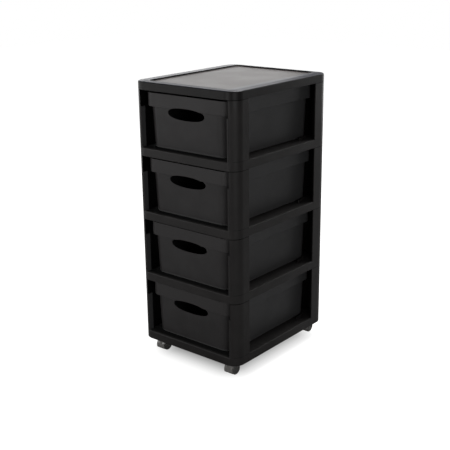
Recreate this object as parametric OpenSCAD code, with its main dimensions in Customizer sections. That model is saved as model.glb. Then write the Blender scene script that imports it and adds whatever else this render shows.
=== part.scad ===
// Storage tower with four pull-out drawers on four swivelling twin-wheel casters.
// The front faces -Y, the floor is at z = 0 and the origin lies on the floor under the middle of the body.

/* [Body] */
// Width of the body, side face to side face
body_w = 289; // [270:1:340]
// Depth of the body, front face to back face
body_d = 350; // [320:1:400]
// Radius of the body's four upright corners
corner_r = 28; // [24:1:34]
// Wall of the tier frames and the cover
wall_t = 2.5; // [2:0.1:3]
// Height from one shelf to the next
tier_pitch = 150; // [125:1:190]
// Height of a shelf's apron, with its plate
apron_h = 20; // [18:0.5:26]
// Rounding of a shelf's upper outer edge
shelf_edge_r = 3; // [1.5:0.5:4]
// Thickness of the ribs under a shelf
rib_t = 2; // [1.5:0.5:2.5]
// Depth of the ribs under a shelf
rib_h = 8; // [4:0.5:9]
// Distance between the ribs that run from front to back
rib_pitch = 50; // [35:1:60]
// Distance between the ribs that run across, the first at the middle
cross_rib_pitch = 85; // [60:1:100]

/* [Columns and legs] */
// Width of a front column
column_w = 18.5; // [16:0.5:20]
// Depth of a front column
column_d = 48.5; // [40:0.5:60]
// How far a rear corner leg reaches along the side
leg_d = 53; // [45:1:65]
// Height of the spigot on a column's top
spigot_h = 10; // [6:0.5:12]
// Distance of the tongue's ends from the body's round corners
tongue_margin = 16.5; // [8:0.5:30]
// Gap between the tongue's top and the ribs above it
tongue_rib_gap = 0.7; // [0.4:0.1:2]
// Gap between a spigot or tongue and its socket
spigot_gap = 0.25; // [0.15:0.05:0.4]

/* [Top cover] */
// Height of the cover at its outer edge
cover_h = 18.5; // [17:0.5:24]
// How much the rim rises towards the sunk panel
crown_h = 1.2; // [0.6:0.1:2]
// Width of the rim at the sides
rim_side_w = 30; // [26:1:40]
// Width of the rim at the front and the back
rim_front_w = 15.5; // [12:0.5:20]
// Corner radius of the sunk panel
panel_r = 14; // [8:1:20]
// Depth of the sunk panel
panel_depth = 3; // [2:0.5:4]

/* [Drawers] */
// Space between a drawer's rim and the apron above
drawer_headroom = 5.5; // [3:0.5:8]
// Wall of a drawer
drawer_wall_t = 2.5; // [2:0.1:3]
// Height of the collar round a drawer's top
collar_h = 31; // [24:1:36]
// Gap between the collar and a front column
collar_gap = 5; // [3:0.5:7]
// Corner radius of the collar
collar_r = 22; // [18:1:26]
// How far the collar stands out over the tub's sides
collar_step_side = 7; // [4:0.5:9]
// How far the collar stands out over the tub's front and back
collar_step_front = 3.2; // [2:0.2:5]
// Rounding of the collar's edges
collar_edge_r = 1; // [0.6:0.1:1.2]
// How far the collar's front lies behind the columns' front
front_recess = 9.5; // [6:0.5:14]
// Space between a drawer's back and the back wall
rear_space = 22.5; // [15:0.5:30]
// Corner radius of the tub at its top
tub_r = 28; // [24:1:32]
// How much each side of the tub leans in towards its floor
tub_draft = 4; // [2:0.5:6]
// Rounding of the tub's bottom edge
tub_floor_r = 5; // [3.5:0.5:7]
// How much larger the fillet inside that edge is than an even wall would give
tub_floor_extra_r = 1; // [0.5:0.5:3]

/* [Handle hole] */
// Width of the handle hole
handle_w = 105; // [80:1:120]
// Height of the handle hole
handle_h = 27; // [22:1:30]
// Distance of the handle hole's middle below the drawer's rim
handle_drop = 40.3; // [34:0.1:46]
// Fullness of the handle hole's outline, where 2 is an ellipse
handle_power = 2.3; // [2:0.1:3]

/* [Drawer guides and stops] */
// How far a drawer pulls out
drawer_travel = 240; // [180:5:250]
// Distance of a stop tab from the middle of the drawer
stop_tab_x = 60; // [45:1:80]
// Width of a stop tab
stop_tab_w = 16; // [10:1:24]
// How far a stop tab laps behind the stop rib
stop_lap = 4; // [2:0.5:6]
// Height of the ribs that stop a closing drawer
back_stop_h = 9; // [8:0.5:12]
// Width of the ribs that stop a closing drawer
back_stop_w = 3; // [2:0.5:4]
// Height of a guide rib on a shelf
guide_h = 6; // [4:0.5:8]
// Length of a guide rib along the shelf
guide_len = 35; // [25:1:45]
// How much a guide rib closes in towards the back
guide_lead = 7.5; // [5:0.5:9]
// Gap between a guide rib's back end and the tub
guide_gap = 4.5; // [3:0.5:6]
// Distance of a guide rib's back end from the body's back face
guide_back = 51; // [45:1:60]

/* [Casters] */
// Distance of a caster's stem from the body's side face
caster_inset_side = 38.5; // [34:0.5:50]
// Distance of a caster's stem from the body's front or back face
caster_inset_front = 26; // [22:0.5:40]
// Height of the lowest apron above the floor
ride_h = 36.6; // [35:0.1:45]
// Diameter of a wheel
wheel_d = 27; // [24:0.5:29]
// Width of a wheel
wheel_w = 10; // [8:0.5:12]
// Rounding of a wheel's outer edges
wheel_edge_r = 2; // [1:0.5:3]
// Depth of the round dish in a wheel's outer face
wheel_dish = 1; // [0.5:0.1:1.2]
// Width of the flat ring outside the dish
dish_ring_w = 1; // [0.5:0.1:2]
// How far the dish's edges slope in
dish_slope = 0.5; // [0.2:0.1:1]
// Thickness of the housing's web between the wheels
web_t = 3.2; // [2.6:0.1:4]
// How far the axle trails behind the stem
trail = 8; // [6:0.5:10]
// Gap between a wheel's tread and the hood
hood_gap = 0.8; // [0.5:0.1:1]
// Thickness of the hood
hood_t = 2; // [1.5:0.1:2.4]
// Where the hood ends behind the wheels, in degrees above level
hood_from = 55; // [40:5:75]
// How far the hood wraps round the wheels, in degrees
hood_span = 150; // [130:5:165]
// Wall of the housing's neck round the stem
neck_t = 4; // [3:0.5:5]
// Thickness of the housing between the stem's foot and the wheels
neck_floor_t = 0.7; // [0.5:0.1:1]
// Diameter of the steel stem
stem_d = 8; // [7:0.5:9]
// Diameter of the steel axle
axle_d = 4; // [3:0.5:5]
// Wall of the web's hub round the axle
hub_t = 3; // [2:0.5:4]
// Wall that closes a wheel over the axle's end
wheel_cap_t = 2.1; // [1.5:0.1:3]
// Wall of the socket sleeve
sleeve_t = 1.45; // [1:0.05:1.8]
// Thickness of the socket sleeve's flange
sleeve_flange_t = 1.2; // [0.8:0.1:1.5]
// How far the flange stays inside the boss's edge
flange_setback = 0.5; // [0:0.1:1]
// Height of the slope on the stem's tip
stem_tip_h = 1; // [0.5:0.1:2]
// Wall of the caster boss
boss_t = 2.5; // [2:0.5:4]
// How far the boss ends above the apron's lower edge
boss_lift = 2; // [1:0.5:4]

/* [Clearances] */
// Gap between a drawer's underside and its shelf
run_gap = 0.2; // [0.1:0.05:0.4]
// Gap left at the ends of a drawer's travel
stop_gap = 0.3; // [0.2:0.05:0.5]
// Gap round a turning shaft
shaft_gap = 0.05; // [0.02:0.01:0.1]
// Gap above the caster's neck and above the stem's end
thrust_gap = 0.3; // [0.2:0.05:0.5]
// Gap between a wheel and the housing's web
wheel_gap = 0.2; // [0.15:0.05:0.4]
// Space over the socket sleeve in its boss
sleeve_end_gap = 1.5; // [1:0.1:3]

/* [Hidden] */

$fn = 96;
// Solids that join run this far into each other, and cuts run this far past a face
lap = 1;

// Tiers, counted from the floor up
tier_count = 4;
function apron_z(tier) = ride_h + (tier - 1) * tier_pitch;
function shelf_z(tier) = apron_z(tier) + apron_h;
cover_z = ride_h + tier_count * tier_pitch;

// Columns and back wall
column_inner_x = body_w / 2 - column_w;
back_inner_y = body_d / 2 - wall_t;
leg_front_y = body_d / 2 - leg_d;
tongue_w = body_w - 2 * (corner_r + tongue_margin);
// The tongue grows out of a root this far below the frame's top
root_h = 4;

// Cover levels above its lower edge
cover_top = cover_h + crown_h;
panel_w = body_w - 2 * rim_side_w;
panel_d = body_d - 2 * rim_front_w;
panel_z = cover_top - panel_depth;
cover_plate_z = panel_z - wall_t;
// The cover's ribs reach lowest, so they set the height of every tongue
tongue_h = cover_plate_z - rib_h - tongue_rib_gap;

// Drawer, in its own frame: x = 0 and y = 0 at its middle, z = 0 at its underside
drawer_h = tier_pitch - apron_h - run_gap - drawer_headroom;
handle_z = drawer_h - handle_drop;
stop_tab_h = drawer_headroom + stop_lap;
collar_w = 2 * (column_inner_x - collar_gap);
drawer_front_y = -body_d / 2 + front_recess;
drawer_back_y = back_inner_y - rear_space;
collar_d = drawer_back_y - drawer_front_y;
drawer_mid_y = (drawer_front_y + drawer_back_y) / 2;
tub_w = collar_w - 2 * collar_step_side;
tub_d = collar_d - 2 * collar_step_front;
ledge_z = drawer_h - collar_h;
function tub_inset(z) = tub_draft * (1 - z / ledge_z);
front_wall_reach = collar_step_front + drawer_wall_t + tub_draft;
floor_strip = tub_draft + 2 * tub_floor_r + drawer_wall_t;
tub_floor_in_r = tub_floor_r - drawer_wall_t + tub_floor_extra_r;

// Stops and guides
stop_rib_y = drawer_back_y - drawer_wall_t - drawer_travel - stop_gap - rib_t;
back_stop_y = drawer_mid_y + tub_d / 2 - tub_inset(back_stop_h) + stop_gap;
guide_end_x = tub_w / 2 - tub_inset(guide_h) + guide_gap;
guide_end_y = body_d / 2 - guide_back;

// Casters, in their own frame: the stem's axis at x = 0 and y = 0, the floor at z = 0
caster_x = body_w / 2 - caster_inset_side;
caster_y = body_d / 2 - caster_inset_front;
axle_z = wheel_d / 2;
hood_in_r = wheel_d / 2 + hood_gap;
hood_out_r = hood_in_r + hood_t;
wheel_in_x = web_t / 2 + wheel_gap;
wheel_out_x = wheel_in_x + wheel_w;
boss_z = ride_h + boss_lift;
neck_d = stem_d + 2 * neck_t;
sleeve_d = stem_d + 2 * (shaft_gap + sleeve_t);
boss_d = sleeve_d + 2 * boss_t;
shelf_under_z = ride_h + apron_h - wall_t;
flange_z = boss_z - sleeve_flange_t;
neck_top_z = flange_z - thrust_gap;
stem_foot_z = axle_z + hood_in_r + neck_floor_t;
stem_top_z = shelf_under_z - thrust_gap;
sleeve_top_z = shelf_under_z - sleeve_end_gap;
flange_d = boss_d - 2 * flange_setback;
web_hub_r = axle_d / 2 + hub_t;
bore_end_x = wheel_out_x - wheel_cap_t;
axle_end_x = bore_end_x - thrust_gap;

// Points of a quarter arc about c, from angle a to angle a + turn
function arc(c, r, a, turn, steps = 8) =
    [for (i = [0:steps]) c + r * [cos(a + turn * i / steps), sin(a + turn * i / steps)]];

// A rectangle with round corners, centred
module rounded_rect(w, d, r) {
    square([w - 2 * r, d], center = true);
    square([w, d - 2 * r], center = true);
    for (x = [-1, 1], y = [-1, 1])
        translate([x * (w / 2 - r), y * (d / 2 - r)])
            circle(r = r);
}

// The body's outline, drawn in by an inset
module outline(inset) {
    rounded_rect(body_w - 2 * inset, body_d - 2 * inset, corner_r - inset);
}

// Carries an upright section round a rounded rectangle.
// In the section, x = 0 is the rectangle's edge, x grows inwards and y is the height.
module carry_round(w, d, r) {
    for (turn = [0, 180])
        rotate([0, 0, turn]) {
            translate([w / 2, 0, 0])
                rotate([90, 0, 0])
                    linear_extrude(d - 2 * r, center = true)
                        mirror([1, 0])
                            children();
            translate([0, d / 2, 0])
                rotate([90, 0, 90])
                    linear_extrude(w - 2 * r, center = true)
                        mirror([1, 0])
                            children();
            translate([w / 2 - r, d / 2 - r, 0])
                rotate_extrude(angle = 90)
                    translate([r, 0])
                        mirror([1, 0])
                            children();
            translate([-w / 2 + r, d / 2 - r, 0])
                rotate([0, 0, 90])
                    rotate_extrude(angle = 90)
                        translate([r, 0])
                            mirror([1, 0])
                                children();
        }
}

// Does the same on both sides of the body
module both_sides() {
    children();
    mirror([1, 0, 0]) children();
}

// The right column's plan, drawn in by an inset
module column_plan(inset) {
    intersection() {
        outline(inset);
        translate([column_inner_x + inset, -body_d / 2])
            square([column_w, column_d - inset]);
    }
}

// The section that rounds off a shelf's upper outer edge when it is cut away
module shelf_edge_section() {
    polygon(concat(
        [[-lap, apron_h + lap], [-lap, apron_h - shelf_edge_r]],
        arc([shelf_edge_r, apron_h - shelf_edge_r], shelf_edge_r, 180, -90),
        [[shelf_edge_r, apron_h + lap]]
    ));
}

// Rounds a shelf's upper edge under the side windows and under the front opening
module shelf_edge_cut() {
    window_y = -body_d / 2 + column_d;
    arc_x = body_w / 2 - corner_r;
    both_sides() {
        translate([body_w / 2, window_y, 0])
            rotate([90, 0, 180])
                linear_extrude(leg_front_y - window_y)
                    shelf_edge_section();
        translate([arc_x, -body_d / 2 + corner_r, 0])
            rotate([0, 0, -90])
                rotate_extrude(angle = asin((column_inner_x - arc_x) / corner_r))
                    translate([corner_r, 0])
                        mirror([1, 0])
                            shelf_edge_section();
    }
    translate([-arc_x, -body_d / 2, 0])
        rotate([90, 0, 90])
            linear_extrude(2 * arc_x)
                shelf_edge_section();
}

// Ribs under a plate: along the body, across it, and the deep one that stops the drawer below
module under_ribs(plate_z) {
    span_y = 2 * back_inner_y + wall_t;
    span_x = body_w - wall_t;
    for (i = [-1.5:1:1.5])
        translate([i * rib_pitch - rib_t / 2, -span_y / 2, plate_z - rib_h])
            cube([rib_t, span_y, rib_h + wall_t / 2]);
    for (y = [0, cross_rib_pitch])
        translate([-span_x / 2, y, plate_z - rib_h])
            cube([span_x, rib_t, rib_h + wall_t / 2]);
    translate([-span_x / 2, stop_rib_y, 0])
        cube([span_x, rib_t, plate_z + wall_t / 2]);
}

// A boss for a caster's socket, tied to the apron by two gussets
module caster_boss() {
    translate([caster_x, caster_y, boss_lift])
        cylinder(d = boss_d, h = apron_h - boss_lift - wall_t / 2);
    translate([caster_x, caster_y - rib_t / 2, boss_lift])
        cube([caster_inset_side - wall_t / 2, rib_t, apron_h - boss_lift - wall_t / 2]);
    translate([caster_x - rib_t / 2, caster_y, boss_lift])
        cube([rib_t, caster_inset_front - wall_t / 2, apron_h - boss_lift - wall_t / 2]);
}

// A thin rib on the shelf that centres the drawer's tail
module guide_rib() {
    turn = atan2(guide_lead, guide_len);
    translate([guide_end_x, guide_end_y, apron_h - wall_t / 2])
        rotate([0, 0, turn])
            translate([0, -norm([guide_lead, guide_len]), 0])
                cube([rib_t, norm([guide_lead, guide_len]), guide_h + wall_t / 2]);
}

// The back wall and the two C-shaped corner legs, in one
module back_wall() {
    translate([0, 0, apron_h - wall_t / 2])
        linear_extrude(tier_pitch - apron_h + wall_t / 2)
            difference() {
                back_plan();
                outline(wall_t);
            }
}

// The body's outline from the rear legs' front edges backwards
module back_plan() {
    intersection() {
        outline(0);
        translate([-body_w / 2, leg_front_y])
            square([body_w, leg_d]);
    }
}

// One tier: shelf and apron, two boxed front columns, back wall with its two corner legs
module tier_frame(tier) {
    boss_mirrors = tier == 1 ? [0, 1] : [];
    color("#1c1d1f")
        translate([0, 0, apron_z(tier)])
            difference() {
                union() {
                    linear_extrude(apron_h)
                        difference() {
                            outline(0);
                            outline(wall_t);
                        }
                    translate([0, 0, apron_h - wall_t])
                        linear_extrude(wall_t) outline(wall_t / 2);
                    both_sides() linear_extrude(tier_pitch) column_plan(0);
                    back_wall();
                    under_ribs(apron_h - wall_t);
                    both_sides() frame_top();
                    both_sides() guide_rib();
                    both_sides()
                        translate([stop_tab_x - back_stop_w / 2, back_stop_y, apron_h - wall_t / 2])
                            cube([
                                back_stop_w,
                                body_d / 2 - wall_t / 2 - back_stop_y,
                                back_stop_h + wall_t / 2,
                            ]);
                    for (m = boss_mirrors, n = boss_mirrors)
                        mirror([0, n, 0]) mirror([m, 0, 0]) caster_boss();
                }
                shelf_edge_cut();
                both_sides()
                    translate([0, 0, -lap])
                        linear_extrude(tier_pitch - wall_t + lap) column_plan(wall_t);
                for (m = boss_mirrors, n = boss_mirrors)
                    mirror([0, n, 0])
                        mirror([m, 0, 0])
                            translate([caster_x, caster_y, 0])
                                cylinder(d = sleeve_d, h = apron_h - wall_t);
            }
}

// What plugs into the shelf or cover above: a hollow spigot on the column and half of the back tongue
module frame_top() {
    translate([0, 0, tier_pitch - wall_t / 2])
        linear_extrude(spigot_h + wall_t / 2)
            difference() {
                column_plan(wall_t + spigot_gap);
                column_plan(2 * wall_t + spigot_gap);
            }
    translate([-lap, back_inner_y - spigot_gap - rib_t, tier_pitch - root_h])
        cube([tongue_w / 2 + lap, rib_t, root_h + tongue_h]);
    translate([-lap, back_inner_y - spigot_gap - rib_t, tier_pitch - root_h])
        cube([tongue_w / 2 + lap, rib_t + spigot_gap + wall_t / 2, root_h]);
}

// The cover's skirt and the crowned top of its rim
module cover_section() {
    polygon(concat(
        [[0, 0]],
        arc([shelf_edge_r, cover_h - shelf_edge_r], shelf_edge_r, 180, -90),
        [
            [rim_front_w, cover_top],
            [rim_front_w + wall_t, cover_top],
            [rim_front_w + wall_t, cover_top - wall_t],
            [rim_front_w, cover_top - wall_t],
            [wall_t + shelf_edge_r, cover_h - wall_t],
            [wall_t, cover_h - wall_t - shelf_edge_r],
            [wall_t, 0],
        ]
    ));
}

// The cover: skirt, crowned rim and a sunk panel, with sockets for the top tier's spigots
module top_cover() {
    color("#232528")
        translate([0, 0, cover_z])
            difference() {
                union() {
                    carry_round(body_w, body_d, corner_r) cover_section();
                    translate([0, 0, cover_top - wall_t])
                        linear_extrude(wall_t) outline(rim_front_w + wall_t / 2);
                    translate([0, 0, cover_plate_z])
                        linear_extrude(cover_top - cover_plate_z)
                            rounded_rect(panel_w + 2 * wall_t, panel_d + wall_t, panel_r + wall_t / 2);
                    under_ribs(cover_plate_z);
                    both_sides()
                        linear_extrude(cover_h - wall_t / 2)
                            difference() {
                                intersection() {
                                    column_plan(0);
                                    outline(wall_t / 2);
                                }
                                column_plan(wall_t);
                            }
                }
                translate([0, 0, panel_z])
                    linear_extrude(cover_top)
                        rounded_rect(panel_w, panel_d, panel_r);
            }
}

// A drawer's tapered wall and the strip of floor that it runs into
module tub_section() {
    out_low = tub_inset(tub_floor_r);
    in_r = tub_floor_in_r;
    in_low = tub_inset(drawer_wall_t + in_r) + drawer_wall_t;
    polygon(concat(
        [[0, ledge_z]],
        arc([out_low + tub_floor_r, tub_floor_r], tub_floor_r, 180, 90),
        [[floor_strip, 0], [floor_strip, drawer_wall_t]],
        arc([in_low + in_r, drawer_wall_t + in_r], in_r, 270, -90),
        [[drawer_wall_t, ledge_z]]
    ));
}

// A drawer's collar, an upright wall with softened edges
module collar_section() {
    e = collar_edge_r;
    polygon(concat(
        arc([e, ledge_z + e], e, 270, -90, 4),
        arc([e, drawer_h - e], e, 180, -90, 4),
        arc([drawer_wall_t - e, drawer_h - e], e, 90, -90, 4),
        [[drawer_wall_t, ledge_z]]
    ));
}

// The handle hole's outline
module handle_outline() {
    polygon([
        for (a = [0:7.5:352.5])
            [
                handle_w / 2 * sign(cos(a)) * pow(abs(cos(a)), 2 / handle_power),
                handle_h / 2 * sign(sin(a)) * pow(abs(sin(a)), 2 / handle_power),
            ]
    ]);
}

// A drawer: tapered tub, wider collar round its top, handle hole and two stop tabs on its rear rim
module drawer(tier) {
    color("#17181a")
        translate([0, drawer_mid_y, shelf_z(tier) + run_gap])
            difference() {
                union() {
                    carry_round(tub_w, tub_d, tub_r) tub_section();
                    linear_extrude(drawer_wall_t)
                        rounded_rect(
                            tub_w - 2 * (floor_strip - lap),
                            tub_d - 2 * (floor_strip - lap),
                            tub_r - floor_strip + lap
                        );
                    carry_round(collar_w, collar_d, collar_r) collar_section();
                    translate([0, 0, ledge_z])
                        linear_extrude(drawer_wall_t)
                            difference() {
                                rounded_rect(
                                    collar_w - 2 * collar_edge_r,
                                    collar_d - 2 * collar_edge_r,
                                    collar_r - collar_edge_r
                                );
                                rounded_rect(
                                    tub_w - 2 * drawer_wall_t,
                                    tub_d - 2 * drawer_wall_t,
                                    tub_r - drawer_wall_t
                                );
                            }
                    both_sides()
                        translate([
                            stop_tab_x - stop_tab_w / 2,
                            collar_d / 2 - drawer_wall_t,
                            drawer_h - 2 * collar_edge_r,
                        ])
                            cube([stop_tab_w, drawer_wall_t, stop_tab_h + 2 * collar_edge_r]);
                }
                translate([0, -collar_d / 2 + front_wall_reach, handle_z])
                    rotate([90, 0, 0])
                        linear_extrude(front_wall_reach + lap) handle_outline();
            }
}

// Puts a caster's piece in place; side is -1 on the left and 1 on the right, end is -1 at the front
module at_caster(side, end) {
    translate([side * caster_x, end * caster_y, 0])
        children();
}

// A sleeve pressed into the boss, in which the stem turns
module caster_socket(side, end) {
    color("#3a3d40")
        at_caster(side, end)
            difference() {
                union() {
                    translate([0, 0, flange_z])
                        cylinder(d = flange_d, h = sleeve_flange_t);
                    translate([0, 0, boss_z])
                        cylinder(d = sleeve_d, h = sleeve_top_z - boss_z);
                }
                translate([0, 0, flange_z - lap])
                    cylinder(r = stem_d / 2 + shaft_gap, h = sleeve_top_z - flange_z + 2 * lap);
            }
}

// The steel stem: a round pin with a slimmer rounded-off tip
module caster_stem(side, end) {
    color("#b8bcc0")
        at_caster(side, end) {
            translate([0, 0, stem_foot_z])
                cylinder(d = stem_d, h = stem_top_z - stem_tip_h - stem_foot_z);
            translate([0, 0, stem_top_z - stem_tip_h])
                cylinder(d1 = stem_d, d2 = stem_d - 2 * stem_tip_h, h = stem_tip_h);
        }
}

// A band of the hood or web about the axle, from radius r1 to radius r2, over the hood's angle
module axle_band(r1, r2, w) {
    translate([0, trail, axle_z])
        rotate([0, 90, 0])
            rotate([0, 0, hood_from + 90])
                rotate_extrude(angle = hood_span)
                    translate([r1, -w / 2])
                        square([r2 - r1, w]);
}

// The housing: neck, hood over both wheels and the web that holds the axle between them
module caster_housing(side, end) {
    color("#26282b")
        at_caster(side, end)
            difference() {
                union() {
                    difference() {
                        translate([0, 0, axle_z])
                            cylinder(d = neck_d, h = neck_top_z - axle_z);
                        translate([0, trail, axle_z])
                            rotate([0, 90, 0])
                                cylinder(
                                    r = hood_in_r + hood_t / 2, h = 2 * (wheel_out_x + lap), center = true
                                );
                    }
                    axle_band(hood_in_r, hood_out_r, 2 * wheel_out_x);
                    axle_band(web_hub_r - lap, hood_in_r + hood_t / 2, web_t);
                    translate([0, trail, axle_z])
                        rotate([0, 90, 0])
                            cylinder(r = web_hub_r, h = web_t, center = true);
                }
                translate([0, 0, stem_foot_z])
                    cylinder(d = stem_d, h = neck_top_z);
                translate([0, trail, axle_z])
                    rotate([0, 90, 0])
                        cylinder(d = axle_d, h = 2 * web_t, center = true);
            }
}

// The steel axle through both wheels
module caster_axle(side, end) {
    color("#b8bcc0")
        at_caster(side, end)
            translate([0, trail, axle_z])
                rotate([0, 90, 0])
                    cylinder(d = axle_d, h = 2 * axle_end_x, center = true);
}

// A wheel's half section: radius against distance from its inner face
module wheel_section() {
    e = wheel_edge_r;
    r = wheel_d / 2;
    bore_r = axle_d / 2 + shaft_gap;
    polygon(concat(
        [[bore_r, 0]],
        [[r - e / 2, 0], [r, e / 2]],
        arc([r - e, wheel_w - e], e, 0, 90),
        [
            [r - e - dish_ring_w, wheel_w],
            [r - e - dish_ring_w - dish_slope, wheel_w - wheel_dish],
            [web_hub_r + dish_slope, wheel_w - wheel_dish],
            [web_hub_r, wheel_w],
            [0, wheel_w],
            [0, bore_end_x - wheel_in_x],
            [bore_r, bore_end_x - wheel_in_x],
        ]
    ));
}

// A wheel; hand is -1 for the left one and 1 for the right one
module caster_wheel(side, end, hand) {
    color("#1e2022")
        at_caster(side, end)
            translate([hand * wheel_in_x, trail, axle_z])
                rotate([0, hand * 90, 0])
                    rotate_extrude()
                        wheel_section();
}

top_cover();
tier_frame(1);  // tier_frame_1
tier_frame(2);  // tier_frame_2
tier_frame(3);  // tier_frame_3
tier_frame(4);  // tier_frame_4
drawer(1);  // drawer_1
drawer(2);  // drawer_2
drawer(3);  // drawer_3
drawer(4);  // drawer_4
caster_socket(-1, -1);  // caster_front_left_socket
caster_stem(-1, -1);  // caster_front_left_stem
caster_housing(-1, -1);  // caster_front_left_housing
caster_axle(-1, -1);  // caster_front_left_axle
caster_wheel(-1, -1, -1);  // caster_front_left_wheel_left
caster_wheel(-1, -1, 1);  // caster_front_left_wheel_right
caster_socket(1, -1);  // caster_front_right_socket
caster_stem(1, -1);  // caster_front_right_stem
caster_housing(1, -1);  // caster_front_right_housing
caster_axle(1, -1);  // caster_front_right_axle
caster_wheel(1, -1, -1);  // caster_front_right_wheel_left
caster_wheel(1, -1, 1);  // caster_front_right_wheel_right
caster_socket(-1, 1);  // caster_rear_left_socket
caster_stem(-1, 1);  // caster_rear_left_stem
caster_housing(-1, 1);  // caster_rear_left_housing
caster_axle(-1, 1);  // caster_rear_left_axle
caster_wheel(-1, 1, -1);  // caster_rear_left_wheel_left
caster_wheel(-1, 1, 1);  // caster_rear_left_wheel_right
caster_socket(1, 1);  // caster_rear_right_socket
caster_stem(1, 1);  // caster_rear_right_stem
caster_housing(1, 1);  // caster_rear_right_housing
caster_axle(1, 1);  // caster_rear_right_axle
caster_wheel(1, 1, -1);  // caster_rear_right_wheel_left
caster_wheel(1, 1, 1);  // caster_rear_right_wheel_right
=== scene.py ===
"""Storage tower in black plastic.

Four tiers stand on each other, each with a pull-out drawer. A flat cover closes the top, and four
twin-wheel casters carry the lowest tier.
"""

import math

import bmesh
import bpy
from mathutils import Matrix, Vector


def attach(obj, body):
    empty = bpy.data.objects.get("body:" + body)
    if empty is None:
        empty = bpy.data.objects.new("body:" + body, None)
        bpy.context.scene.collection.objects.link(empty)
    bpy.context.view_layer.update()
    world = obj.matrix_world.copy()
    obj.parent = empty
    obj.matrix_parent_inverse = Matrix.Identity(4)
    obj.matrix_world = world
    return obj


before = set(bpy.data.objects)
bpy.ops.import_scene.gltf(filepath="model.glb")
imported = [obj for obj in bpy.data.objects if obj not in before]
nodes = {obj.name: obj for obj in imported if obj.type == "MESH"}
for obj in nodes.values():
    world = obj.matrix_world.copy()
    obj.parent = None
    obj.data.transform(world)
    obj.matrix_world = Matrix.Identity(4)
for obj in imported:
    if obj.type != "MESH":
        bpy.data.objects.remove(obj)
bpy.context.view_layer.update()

# --- Camera -------------------------------------------------------------------------------------
# It stands to the right of the tower's front and a little above its top, about as high as a
# person's waist, with a 70 mm lens in front of a picture 36 mm wide.
camera_place = Vector((1.2510, -1.5504, 0.9366))
camera_azimuth = math.radians(39.52)
camera_fall = math.radians(17.68)
camera_roll = math.radians(-0.68)
picture_px = 450
focal_px = 874.8
sensor_width = 36.0
nearest_seen = 0.05

ahead = Vector((
    -math.sin(camera_azimuth) * math.cos(camera_fall),
    math.cos(camera_azimuth) * math.cos(camera_fall),
    -math.sin(camera_fall),
))
level_right = ahead.cross(Vector((0, 0, 1))).normalized()
level_up = level_right.cross(ahead)
camera_right = level_right * math.cos(camera_roll) + level_up * math.sin(camera_roll)
camera_up = level_up * math.cos(camera_roll) - level_right * math.sin(camera_roll)
turn = Matrix((camera_right, camera_up, -ahead)).transposed().to_4x4()

camera_data = bpy.data.cameras.new("camera")
camera_data.sensor_width = sensor_width
camera_data.lens = focal_px / picture_px * sensor_width
camera_data.clip_start = nearest_seen
camera = bpy.data.objects.new("camera", camera_data)
camera.matrix_world = Matrix.Translation(camera_place) @ turn
bpy.context.scene.collection.objects.link(camera)
bpy.context.scene.camera = camera


# --- Tier frames --------------------------------------------------------------------------------
# Each tier is one injection moulding in black polypropylene: shelf, two boxed front columns, back
# wall and rear corner legs. The tool's spark-eroded skin leaves a fine, even grain on every face,
# and handling polishes the edges. The tiers plug into each other without screws.
tiers = range(1, 5)
tier_pitch = 0.15
first_shelf_z = 0.0566
window_height = 0.1295
seam_below_shelf = 0.0212
seam_height = 0.0011
seam_softness = 0.0002

column_inner_x = 0.126
column_front_y = -0.175
column_middle_y = -0.150
column_half_depth = 0.0245
shelf_front_y = -0.1445
shelf_front_half_depth = 0.0245

frame_black = (0.0185, 0.0168, 0.0165)
seam_black = (0.0, 0.0, 0.0)
painted_shade_black = (0.0005, 0.0005, 0.0005)
shelf_front_black = (0.001, 0.001, 0.001)


def new_node(tree, kind, values=None, **settings):
    """Adds a node with its settings; a value is a number for an input or a socket to link to it."""
    node = tree.nodes.new(kind)
    for key, setting in settings.items():
        setattr(node, key, setting)
    for key, value in (values or {}).items():
        if isinstance(value, bpy.types.NodeSocket):
            tree.links.new(value, node.inputs[key])
        else:
            node.inputs[key].default_value = value
    return node


def calculate(tree, operation, *values):
    """The result of a Math node on numbers or sockets."""
    node = new_node(tree, "ShaderNodeMath", dict(enumerate(values)), operation=operation)
    return node.outputs[0]


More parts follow.
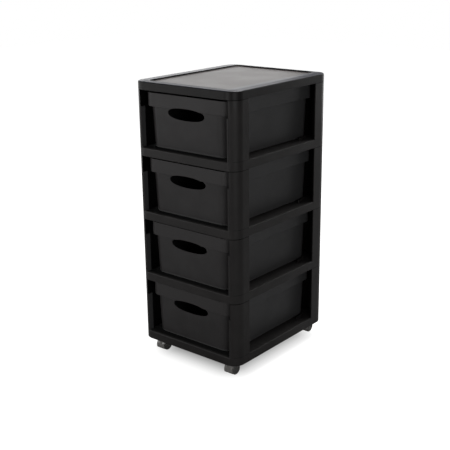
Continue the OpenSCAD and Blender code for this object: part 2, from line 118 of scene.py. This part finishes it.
def moulded_skin_group():
    """Grain, uneven gloss, dust on level faces and softened, slightly rubbed edges."""
    group = bpy.data.node_groups.new("moulded_skin", "ShaderNodeTree")
    face = group.interface
    for name, kind, value in (
        ("Colour", "NodeSocketColor", (0.03, 0.03, 0.03, 1)),
        ("Gloss Low", "NodeSocketFloat", 0.35),
        ("Gloss High", "NodeSocketFloat", 0.5),
        ("Grain Size", "NodeSocketFloat", 0.0006),
        ("Grain Depth", "NodeSocketFloat", 0.00003),
        ("Edge Radius", "NodeSocketFloat", 0.0006),
        ("Dust", "NodeSocketFloat", 0.1),
        ("Level Dulling", "NodeSocketFloat", 0.0),
    ):
        face.new_socket(name, in_out="INPUT", socket_type=kind).default_value = value
    for name, kind in (
        ("Colour", "NodeSocketColor"),
        ("Roughness", "NodeSocketFloat"),
        ("Normal", "NodeSocketVector"),
    ):
        face.new_socket(name, in_out="OUTPUT", socket_type=kind)
    entry = new_node(group, "NodeGroupInput").outputs
    place = new_node(group, "ShaderNodeTexCoord").outputs["Object"]
    flat_normal = new_node(group, "ShaderNodeNewGeometry").outputs["Normal"]

    def noise(scale, detail, roughness=0.5):
        node = new_node(group, "ShaderNodeTexNoise", {
            "Vector": place, "Scale": scale, "Detail": detail, "Roughness": roughness,
        })
        return node.outputs["Fac"]

    def ramp(value, low, high, out_low=0.0, out_high=1.0):
        node = new_node(group, "ShaderNodeMapRange", {
            "Value": value,
            "From Min": low,
            "From Max": high,
            "To Min": out_low,
            "To Max": out_high,
        }, interpolation_type="SMOOTHSTEP")
        return node.outputs["Result"]

    def mix_colour(factor, under, over):
        node = new_node(group, "ShaderNodeMix", {0: factor, 6: under, 7: over}, data_type="RGBA")
        return node.outputs[2]

    # Edges: the rounded normal departs from the flat one only near an edge.
    bevel = new_node(group, "ShaderNodeBevel", {"Radius": entry["Edge Radius"]}, samples=6)
    round_normal = bevel.outputs["Normal"]
    closeness = new_node(
        group, "ShaderNodeVectorMath", {0: round_normal, 1: flat_normal}, operation="DOT_PRODUCT"
    )
    edge = ramp(closeness.outputs["Value"], low=0.995, high=0.80)
    patchy = ramp(noise(scale=45.0, detail=3.0), low=0.42, high=0.62)
    rubbed = calculate(group, "MULTIPLY", edge, patchy)

    # Broad, faint differences in gloss where the skin was handled or wiped.
    edge_polish = 0.08
    wiped = ramp(noise(scale=9.0, detail=5.0, roughness=0.6), low=0.3, high=0.7)
    roughness = ramp(wiped, 0.0, 1.0, entry["Gloss Low"], entry["Gloss High"])
    polished = calculate(group, "MULTIPLY", rubbed, edge_polish)
    roughness = calculate(group, "SUBTRACT", roughness, polished)

    # Dust settles on what faces up.
    dust_dulling = 0.4
    upright = new_node(group, "ShaderNodeSeparateXYZ", {0: flat_normal}).outputs["Z"]
    level = ramp(upright, low=0.75, high=0.98)
    specks = ramp(noise(scale=60.0, detail=6.0, roughness=0.7), low=0.45, high=0.75)
    settled = calculate(group, "MULTIPLY", level, specks)
    dust = calculate(group, "MULTIPLY", settled, entry["Dust"])
    dulled_by_dust = calculate(group, "MULTIPLY", dust, dust_dulling)
    dulled_by_wear = calculate(group, "MULTIPLY", level, entry["Level Dulling"])
    roughness = calculate(group, "ADD", roughness, dulled_by_dust)
    roughness = calculate(group, "ADD", roughness, dulled_by_wear)

    # Colour: a trace of mottle from the melt, paler on rubbed edges and under dust.
    rubbed_share = 0.12
    rubbed_grey = (0.22, 0.22, 0.23, 1)
    dust_grey = (0.30, 0.29, 0.27, 1)
    mottle = ramp(noise(scale=24.0, detail=4.0), 0.25, 0.75, out_low=0.88, out_high=1.12)
    shade = new_node(
        group, "ShaderNodeVectorMath", {0: entry["Colour"], "Scale": mottle}, operation="SCALE"
    )
    rubbed_paler = calculate(group, "MULTIPLY", rubbed, rubbed_share)
    colour = mix_colour(rubbed_paler, shade.outputs[0], rubbed_grey)
    colour = mix_colour(dust, colour, dust_grey)

    # Grain: pits a few tenths of a millimetre across.
    grain_strength = 0.35
    fineness = calculate(group, "DIVIDE", 1.0, entry["Grain Size"])
    bump = new_node(group, "ShaderNodeBump", {
        "Strength": grain_strength,
        "Distance": entry["Grain Depth"],
        "Height": noise(scale=fineness, detail=2.0),
        "Normal": round_normal,
    })
    new_node(group, "NodeGroupOutput", {
        "Colour": colour, "Roughness": roughness, "Normal": bump.outputs["Normal"],
    })
    return group


def tier_band_group():
    """A mask that is 1 on a level band of every tier and 0 elsewhere."""
    group = bpy.data.node_groups.new("tier_band", "ShaderNodeTree")
    face = group.interface
    for name, value in (("Start", 0.0), ("Pitch", 0.15), ("Width", 0.01), ("Softness", 0.001)):
        socket = face.new_socket(name, in_out="INPUT", socket_type="NodeSocketFloat")
        socket.default_value = value
    face.new_socket("Mask", in_out="OUTPUT", socket_type="NodeSocketFloat")
    entry = new_node(group, "NodeGroupInput").outputs
    place = new_node(group, "ShaderNodeTexCoord").outputs["Object"]
    height = new_node(group, "ShaderNodeSeparateXYZ", {0: place}).outputs["Z"]

    over_start = calculate(group, "SUBTRACT", height, entry["Start"])
    fade = new_node(group, "ShaderNodeMapRange", {
        "Value": calculate(group, "FLOORED_MODULO", over_start, entry["Pitch"]),
        "From Min": entry["Width"],
        "From Max": calculate(group, "ADD", entry["Width"], entry["Softness"]),
        "To Min": 1.0,
        "To Max": 0.0,
    }, interpolation_type="SMOOTHSTEP")
    new_node(group, "NodeGroupOutput", {"Mask": fade.outputs["Result"]})
    return group


moulded_skin = moulded_skin_group()
tier_band = tier_band_group()


def shader_inputs(material):
    """The inputs of a material's own shader."""
    return material.node_tree.nodes["Principled BSDF"].inputs


def plastic(name, colour, gloss, specular=0.5, **skin_values):
    """A plastic with the moulded skin; gloss is the lowest and the highest roughness."""
    material = bpy.data.materials.new(name)
    material.use_nodes = True
    tree = material.node_tree
    skin = new_node(tree, "ShaderNodeGroup", node_tree=moulded_skin)
    skin.inputs["Colour"].default_value = (*colour, 1)
    skin.inputs["Gloss Low"].default_value, skin.inputs["Gloss High"].default_value = gloss
    for key, value in skin_values.items():
        skin.inputs[key.replace("_", " ").title()].default_value = value
    shader = shader_inputs(material)
    shader["IOR"].default_value = 1.5
    shader["Specular IOR Level"].default_value = specular
    tree.links.new(skin.outputs["Colour"], shader["Base Color"])
    tree.links.new(skin.outputs["Roughness"], shader["Roughness"])
    tree.links.new(skin.outputs["Normal"], shader["Normal"])
    return material


def dress(names, material):
    """Gives CAD nodes their finish."""
    for name in names:
        mesh = nodes[name].data
        mesh.materials.clear()
        mesh.materials.append(material)


def band_mask(material, start, width, softness):
    """A tier band in a material, from its height above the first shelf."""
    band = new_node(material.node_tree, "ShaderNodeGroup", {
        "Start": first_shelf_z + start, "Pitch": tier_pitch, "Width": width, "Softness": softness,
    }, node_tree=tier_band)
    return band.outputs["Mask"]


def plane_mask(material, axis, place, half_width, mirrored=False):
    """1 within half_width of a plane square to an axis, or of the plane and its mirror image."""
    tree = material.node_tree
    spot = new_node(tree, "ShaderNodeTexCoord").outputs["Object"]
    value = new_node(tree, "ShaderNodeSeparateXYZ", {0: spot}).outputs[axis]
    if mirrored:
        value = calculate(tree, "ABSOLUTE", value)
    return calculate(tree, "COMPARE", value, place, half_width)


def side_mask(material):
    """A mask that is 1 on upright faces square to the X axis."""
    tree = material.node_tree
    facing = new_node(tree, "ShaderNodeNewGeometry").outputs["Normal"]
    sideways = new_node(tree, "ShaderNodeSeparateXYZ", {0: facing}).outputs["X"]
    square = new_node(tree, "ShaderNodeMapRange", {
        "Value": calculate(tree, "ABSOLUTE", sideways), "From Min": 0.8,
    }, interpolation_type="SMOOTHSTEP")
    return square.outputs["Result"]


def shared_mask(material, *masks):
    """The part that all masks share."""
    shared = masks[0]
    for mask in masks[1:]:
        shared = calculate(material.node_tree, "MULTIPLY", shared, mask)
    return shared


def tint_under(material, mask, colour):
    """Turns a material's colour to another one under a mask."""
    tree = material.node_tree
    base = shader_inputs(material)["Base Color"]
    before = base.links[0].from_socket
    mix = new_node(
        tree, "ShaderNodeMix", {0: mask, 6: before, 7: (*colour, 1)}, data_type="RGBA"
    )
    tree.links.new(mix.outputs[2], base)


frame_plastic = plastic(
    "frame_plastic", frame_black, (0.38, 0.5), specular=0.28, dust=0.03, level_dulling=0.45
)
dress([f"tier_frame_{tier}" for tier in tiers], frame_plastic)

# The joint between two stacked tiers is a hairline that no light gets into. A black metal has no
# shine of its own.
seam = band_mask(frame_plastic, -seam_below_shelf, seam_height, seam_softness)
tint_under(frame_plastic, seam, seam_black)
frame_plastic.node_tree.links.new(seam, shader_inputs(frame_plastic)["Metallic"])

# Behind and above its step a column's inner side is painted near black: painted shade, as the
# drawer keeps the light from it.
column_inner_painted_shade = shared_mask(
    frame_plastic,
    band_mask(frame_plastic, 0.0, window_height, softness=0.0005),
    plane_mask(frame_plastic, "X", column_inner_x, half_width=0.0006, mirrored=True),
    plane_mask(frame_plastic, "Y", column_middle_y, column_half_depth),
)
tint_under(frame_plastic, column_inner_painted_shade, painted_shade_black)

# The shelf's front edge lies in the drawer's shade.
shelf_front = shared_mask(
    frame_plastic,
    band_mask(frame_plastic, -0.0005, width=0.001, softness=0.0002),
    plane_mask(frame_plastic, "Y", shelf_front_y, shelf_front_half_depth),
)
tint_under(frame_plastic, shelf_front, shelf_front_black)

# Below the drawers' collars each front column is stepped inwards, which steers the drawer. A step
# is rooted a little way into its column and its shelf.
step_out = 0.003
step_depth = 0.0145
step_top = 0.0925
step_round = 0.0012
step_root = 0.001
step_behind_front = 0.0005
step_side_painted_light = (0.055, 0.055, 0.056)
step_plastic = plastic("step_plastic", frame_black, (0.36, 0.48), specular=0.28, dust=0.03)
# The step's sideways faces are painted paler than the frame: painted light on the same black.
tint_under(step_plastic, side_mask(step_plastic), step_side_painted_light)


def column_steps_tree():
    """Copies one step to every tier on both columns, those on the right turned half round."""
    tree = bpy.data.node_groups.new("column_steps", "GeometryNodeTree")
    tree.is_modifier = True
    face = tree.interface
    for name, kind in (
        ("Step", "NodeSocketGeometry"),
        ("Tiers", "NodeSocketInt"),
        ("Pitch", "NodeSocketFloat"),
        ("Half Spacing", "NodeSocketFloat"),
        ("Place Y", "NodeSocketFloat"),
        ("Place Z", "NodeSocketFloat"),
        ("Material", "NodeSocketMaterial"),
    ):
        face.new_socket(name, in_out="INPUT", socket_type=kind)
    face.new_socket("Steps", in_out="OUTPUT", socket_type="NodeSocketGeometry")
    entry = new_node(tree, "NodeGroupInput").outputs
    both = new_node(tree, "GeometryNodeJoinGeometry")
    climb = new_node(tree, "ShaderNodeCombineXYZ", {"Z": entry["Pitch"]})
    for hand, turned in ((-1, 0.0), (1, math.pi)):
        across = calculate(tree, "MULTIPLY", entry["Half Spacing"], hand)
        start = new_node(tree, "ShaderNodeCombineXYZ", {
            "X": across, "Y": entry["Place Y"], "Z": entry["Place Z"],
        })
        column = new_node(tree, "GeometryNodeMeshLine", {
            "Count": entry["Tiers"],
            "Start Location": start.outputs[0],
            "Offset": climb.outputs[0],
        })
        copies = new_node(tree, "GeometryNodeInstanceOnPoints", {
            "Points": column.outputs["Mesh"],
            "Instance": entry["Step"],
            "Rotation": (0.0, 0.0, turned),
        })
        tree.links.new(copies.outputs["Instances"], both.inputs[0])
    real = new_node(tree, "GeometryNodeRealizeInstances", {0: both.outputs[0]})
    finish = new_node(tree, "GeometryNodeSetMaterial", {
        "Geometry": real.outputs[0], "Material": entry["Material"],
    })
    new_node(tree, "NodeGroupOutput", {0: finish.outputs[0]})
    return tree


def repeated(name, mesh, tree, values):
    """Runs a tree of nodes on a mesh and gives back its result as one plain object."""
    carrier = bpy.data.objects.new(f"{name}_carrier", mesh)
    bpy.context.scene.collection.objects.link(carrier)
    modifier = carrier.modifiers.new(name, "NODES")
    modifier.node_group = tree
    for item in tree.interface.items_tree:
        if item.item_type == "SOCKET" and item.in_out == "INPUT" and item.name in values:
            modifier[item.identifier] = values[item.name]
    evaluated = carrier.evaluated_get(bpy.context.evaluated_depsgraph_get())
    result = bpy.data.meshes.new_from_object(evaluated)
    bpy.data.objects.remove(carrier)
    piece = bpy.data.objects.new(name, result)
    bpy.context.scene.collection.objects.link(piece)
    return piece


def step_edge_is_round(edge):
    """True for a step's inner upright edges and for three edges of its top: inner, front, back."""
    on_inner_face = all(vertex.co.x > 0 for vertex in edge.verts)
    touches_top = any(vertex.co.z > 0 for vertex in edge.verts)
    on_top = all(vertex.co.z > 0 for vertex in edge.verts)
    runs_sideways = abs(edge.verts[0].co.y - edge.verts[1].co.y) < step_root
    return (on_inner_face and touches_top) or (on_top and runs_sideways)


step_shape = bmesh.new()
bmesh.ops.create_cube(step_shape, size=1.0)
for vertex in step_shape.verts:
    vertex.co.x = (vertex.co.x + 0.5) * (step_out + step_root) - step_root
    vertex.co.y *= step_depth
    vertex.co.z = (vertex.co.z + 0.5) * (step_top + step_root) - step_root
round_edges = [edge for edge in step_shape.edges if step_edge_is_round(edge)]
bmesh.ops.bevel(
    step_shape, geom=round_edges, offset=step_round, segments=4, profile=0.5, affect="EDGES"
)
bmesh.ops.recalc_face_normals(step_shape, faces=step_shape.faces)
step_mesh = bpy.data.meshes.new("column_step")
step_shape.to_mesh(step_mesh)
step_shape.free()
column_steps = repeated("column_steps", step_mesh, column_steps_tree(), {
    "Tiers": len(tiers),
    "Pitch": tier_pitch,
    "Half Spacing": column_inner_x,
    "Place Y": column_front_y + step_depth / 2 + step_behind_front,
    "Place Z": first_shelf_z,
    "Material": step_plastic,
})
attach(column_steps, "tower_frame")


# --- Casters ------------------------------------------------------------------------------------
# Four small twin-wheel casters: a glossy dark housing with a hood over two wheels on a steel axle,
# and a steel stem that turns in a plastic sleeve pressed into the lowest frame's boss.
caster_places = ("front_left", "front_right", "rear_left", "rear_right")
caster_grey = (0.185, 0.179, 0.17)
wheel_grey = (0.11, 0.108, 0.103)
socket_grey = (0.09, 0.09, 0.095)
zinc_grey = (0.62, 0.63, 0.65)
lines_across, lines_along = 900, 40


def steel(name, colour, roughness):
    """Zinc-plated steel with fine drawn lines; roughness is the lowest and the highest."""
    material = bpy.data.materials.new(name)
    material.use_nodes = True
    tree = material.node_tree
    place = new_node(tree, "ShaderNodeTexCoord").outputs["Object"]
    stretch = new_node(tree, "ShaderNodeMapping", {
        "Vector": place, "Scale": (lines_across, lines_across, lines_along),
    })
    lines = new_node(tree, "ShaderNodeTexNoise", {
        "Vector": stretch.outputs["Vector"], "Scale": 1.0, "Detail": 3.0,
    })
    lowest, highest = roughness
    spread = new_node(tree, "ShaderNodeMapRange", {
        "Value": lines.outputs["Fac"], "To Min": lowest, "To Max": highest,
    })
    shader = shader_inputs(material)
    shader["Base Color"].default_value = (*colour, 1)
    shader["Metallic"].default_value = 1.0
    tree.links.new(spread.outputs["Result"], shader["Roughness"])
    return material


caster_plastic = plastic(
    "caster_plastic", caster_grey, (0.14, 0.26), specular=0.8, edge_radius=0.0022
)
wheel_plastic = plastic("wheel_plastic", wheel_grey, (0.25, 0.38), specular=0.6, edge_radius=0.001)
socket_plastic = plastic("socket_plastic", socket_grey, (0.35, 0.5))
plated_steel = steel("plated_steel", zinc_grey, (0.2, 0.38))
for place in caster_places:
    dress([f"caster_{place}_housing"], caster_plastic)
    dress([f"caster_{place}_socket"], socket_plastic)
    dress([f"caster_{place}_stem", f"caster_{place}_axle"], plated_steel)
    dress([f"caster_{place}_wheel_{hand}" for hand in ("left", "right")], wheel_plastic)


# --- Drawers ------------------------------------------------------------------------------------
# Four deep tubs moulded in one shot in the same black, a little smoother than the frames, each
# with a wider collar round its top and an oval hole through its front to pull it by.
drawer_black = (0.0300, 0.0282, 0.0285)
collar_painted_light = (0.0345, 0.0322, 0.0325)
drawer_side_painted_light = (0.045, 0.045, 0.046)
paler_foot_grey = (0.085, 0.085, 0.086)
collar_start = 0.0935
collar_height = 0.031
foot_start = 0.0001
foot_height = 0.003

drawer_plastic = plastic("drawer_plastic", drawer_black, (0.4, 0.52), specular=0.3, dust=0.05)
dress([f"drawer_{tier}" for tier in tiers], drawer_plastic)
# The collar band is painted a little paler than the tub: painted light, as both are the same black.
collar = band_mask(drawer_plastic, collar_start, collar_height, softness=0.0005)
tint_under(drawer_plastic, collar, collar_painted_light)
# The drawers' sideways faces are painted paler than their fronts: painted light on the same black.
tint_under(drawer_plastic, side_mask(drawer_plastic), drawer_side_painted_light)

# The lowest few millimetres, round the tub's floor, are tinted paler.
foot = band_mask(drawer_plastic, foot_start, foot_height, softness=0.003)
tint_under(drawer_plastic, foot, paler_foot_grey)


# --- Top cover ----------------------------------------------------------------------------------
# The cover snaps over the top tier's column spigots. Its rim is smooth and slightly crowned, and
# the sunk panel inside the rim has a coarser grain that scatters the light. The rim's top and the
# panel are painted far paler than the skirt, a painted sheen.
cover_black = (0.0135, 0.0126, 0.0126)
rim_top_tint_painted_sheen = (0.021, 0.023, 0.038)
panel_tint_painted_sheen = (0.068, 0.054, 0.050)
rim_polish = 1.0
panel_polish = 0.78
panel_half_x = 0.1145
panel_half_y = 0.1595
panel_fade = 0.002

cover_plastic = plastic("cover_plastic", cover_black, (0.38, 0.48), specular=0.22, dust=0.02)
dress(["top_cover"], cover_plastic)
cover_shader = shader_inputs(cover_plastic)
cover_shader["Coat Roughness"].default_value = 0.34
cover_shader["Coat IOR"].default_value = 1.5

# The sunk panel is told from the rim by its outline, and both from the skirt by facing up.
cover_tree = cover_plastic.node_tree
cover_spot = new_node(cover_tree, "ShaderNodeTexCoord").outputs["Object"]
cover_parts = new_node(cover_tree, "ShaderNodeSeparateXYZ", {0: cover_spot}).outputs
inside = []
for axis, half_size in (("X", panel_half_x), ("Y", panel_half_y)):
    reach = new_node(cover_tree, "ShaderNodeMapRange", {
        "Value": calculate(cover_tree, "ABSOLUTE", cover_parts[axis]),
        "From Min": half_size - panel_fade,
        "From Max": half_size,
        "To Min": 1.0,
        "To Max": 0.0,
    }, interpolation_type="SMOOTHSTEP")
    inside.append(reach.outputs["Result"])
panel_mask = shared_mask(cover_plastic, *inside)
cover_facing = new_node(cover_tree, "ShaderNodeNewGeometry").outputs["Normal"]
cover_upright = new_node(cover_tree, "ShaderNodeSeparateXYZ", {0: cover_facing}).outputs["Z"]
upward = new_node(cover_tree, "ShaderNodeMapRange", {
    "Value": cover_upright, "From Min": 0.55, "From Max": 0.95,
}, interpolation_type="SMOOTHSTEP")
upward_mask = upward.outputs["Result"]
polish = new_node(cover_tree, "ShaderNodeMapRange", {
    "Value": panel_mask, "To Min": rim_polish, "To Max": panel_polish,
})
coat = shared_mask(cover_plastic, polish.outputs["Result"], upward_mask)
cover_tree.links.new(coat, cover_shader["Coat Weight"])
# The rim's top is tinted bluish and the panel warm, both far paler than the skirt: partly their own
# tint, partly a painted sheen for the light the level top catches.
tint_under(cover_plastic, upward_mask, rim_top_tint_painted_sheen)
tint_under(cover_plastic, panel_mask, panel_tint_painted_sheen)


# --- Floor, lights and backdrop -------------------------------------------------------------------
# A white paper floor that keeps the tower's soft shadow, cast by the lamps and deepened at the
# foot by a painted shadow in its glow. Soft upright panels stand round the tower and one hangs
# above and behind it. A long one behind on the left is what the cover mirrors.
floor_half_size = 6.0
floor_white = (0.33, 0.33, 0.33, 1)
floor_seen_white = (0.32, 0.32, 0.31, 1)
foot_core = (0.0745, 0.105, 0.0)
glow_in_painted_shadow = 0.16
glow_far_off = 1.0
glow_start = -0.01
glow_end = 0.09

floor_mesh = bpy.data.meshes.new("floor")
floor_corners = [
    (side * floor_half_size, depth * floor_half_size, 0)
    for side, depth in ((-1, -1), (1, -1), (1, 1), (-1, 1))
]
floor_mesh.from_pydata(floor_corners, [], [(0, 1, 2, 3)])
floor = bpy.data.objects.new("floor", floor_mesh)
bpy.context.scene.collection.objects.link(floor)
floor_material = bpy.data.materials.new("floor_paper")
floor_material.use_nodes = True
floor_tree = floor_material.node_tree
floor_shader = shader_inputs(floor_material)
floor_shader["Roughness"].default_value = 0.9
floor_shader["Specular IOR Level"].default_value = 0.0
floor_shader["Emission Color"].default_value = (1, 1, 1, 1)
seen_directly = new_node(floor_tree, "ShaderNodeLightPath").outputs["Is Camera Ray"]
floor_colour = new_node(floor_tree, "ShaderNodeMix", {
    0: seen_directly, 6: floor_white, 7: floor_seen_white,
}, data_type="RGBA")
floor_tree.links.new(floor_colour.outputs[2], floor_shader["Base Color"])

# Painted shadow at the tower's foot: the paper's glow is dim there and grows with the distance
# from the footprint.
past_foot = new_node(floor_tree, "ShaderNodeTexCoord").outputs["Object"]
for operation, values in (
    ("ABSOLUTE", {}),
    ("SUBTRACT", {1: foot_core}),
    ("MAXIMUM", {1: (0, 0, 0)}),
):
    moved = new_node(
        floor_tree, "ShaderNodeVectorMath", {0: past_foot, **values}, operation=operation
    )
    past_foot = moved.outputs[0]
distance = new_node(floor_tree, "ShaderNodeVectorMath", {0: past_foot}, operation="LENGTH")
painted_shadow_glow = new_node(floor_tree, "ShaderNodeMapRange", {
    "Value": distance.outputs["Value"],
    "From Min": glow_start,
    "From Max": glow_end,
    "To Min": glow_in_painted_shadow,
    "To Max": glow_far_off,
}, interpolation_type="SMOOTHSTEP")
glow_seen = shared_mask(floor_material, painted_shadow_glow.outputs["Result"], seen_directly)
floor_tree.links.new(glow_seen, floor_shader["Emission Strength"])
floor_mesh.materials.append(floor_material)


def panel_light(name, place, aim, width, height, power):
    """A soft rectangular light that the camera doesn't see."""
    data = bpy.data.lights.new(name, "AREA")
    data.shape = "RECTANGLE"
    data.size = width
    data.size_y = height
    data.energy = power
    lamp = bpy.data.objects.new(name, data)
    lamp.location = place
    lamp.rotation_euler = (Vector(aim) - Vector(place)).to_track_quat("-Z", "Y").to_euler()
    lamp.visible_camera = False
    bpy.context.scene.collection.objects.link(lamp)


# The bearing of an upright panel is its angle from the front, round by the right, in degrees.
tower_middle = (0, 0, 0.4)
ring_radius = 2.6
ring_height = 0.75
ring_panel_size = 1.3
for name, bearing, power in (
    ("front_panel", 0, 14),
    ("right_front_panel", 60, 11),
    ("right_back_panel", 152, 4),
    ("back_panel", 180, 18),
    ("left_panel", 270, 8),
    ("left_front_panel", 308, 12),
):
    turned = math.radians(bearing)
    place = (ring_radius * math.sin(turned), -ring_radius * math.cos(turned), ring_height)
    panel_light(name, place, tower_middle, ring_panel_size, ring_panel_size, power)
panel_light(
    "overhead_panel", place=(0, 1.2, 3.0), aim=tower_middle, width=1.6, height=1.6, power=66
)
panel_light(
    "mirrored_panel", place=(-2.37, 1.6, 1.2), aim=(0, 0, 0.65), width=2.6, height=0.9, power=8.8
)

# The backdrop is white to the camera and lights the tower only faintly.
room_light = 0.06
world = bpy.data.worlds.new("studio")
bpy.context.scene.world = world
world.use_nodes = True
world_tree = world.node_tree
backdrop = world_tree.nodes["Background"]
backdrop.inputs["Color"].default_value = (1, 1, 1, 1)
backdrop_seen = new_node(world_tree, "ShaderNodeLightPath").outputs["Is Camera Ray"]
room_level = new_node(world_tree, "ShaderNodeMapRange", {
    "Value": backdrop_seen, "To Min": room_light, "To Max": 1.0,
})
world_tree.links.new(room_level.outputs["Result"], backdrop.inputs["Strength"])

bpy.context.scene.view_settings.view_transform = "Standard"
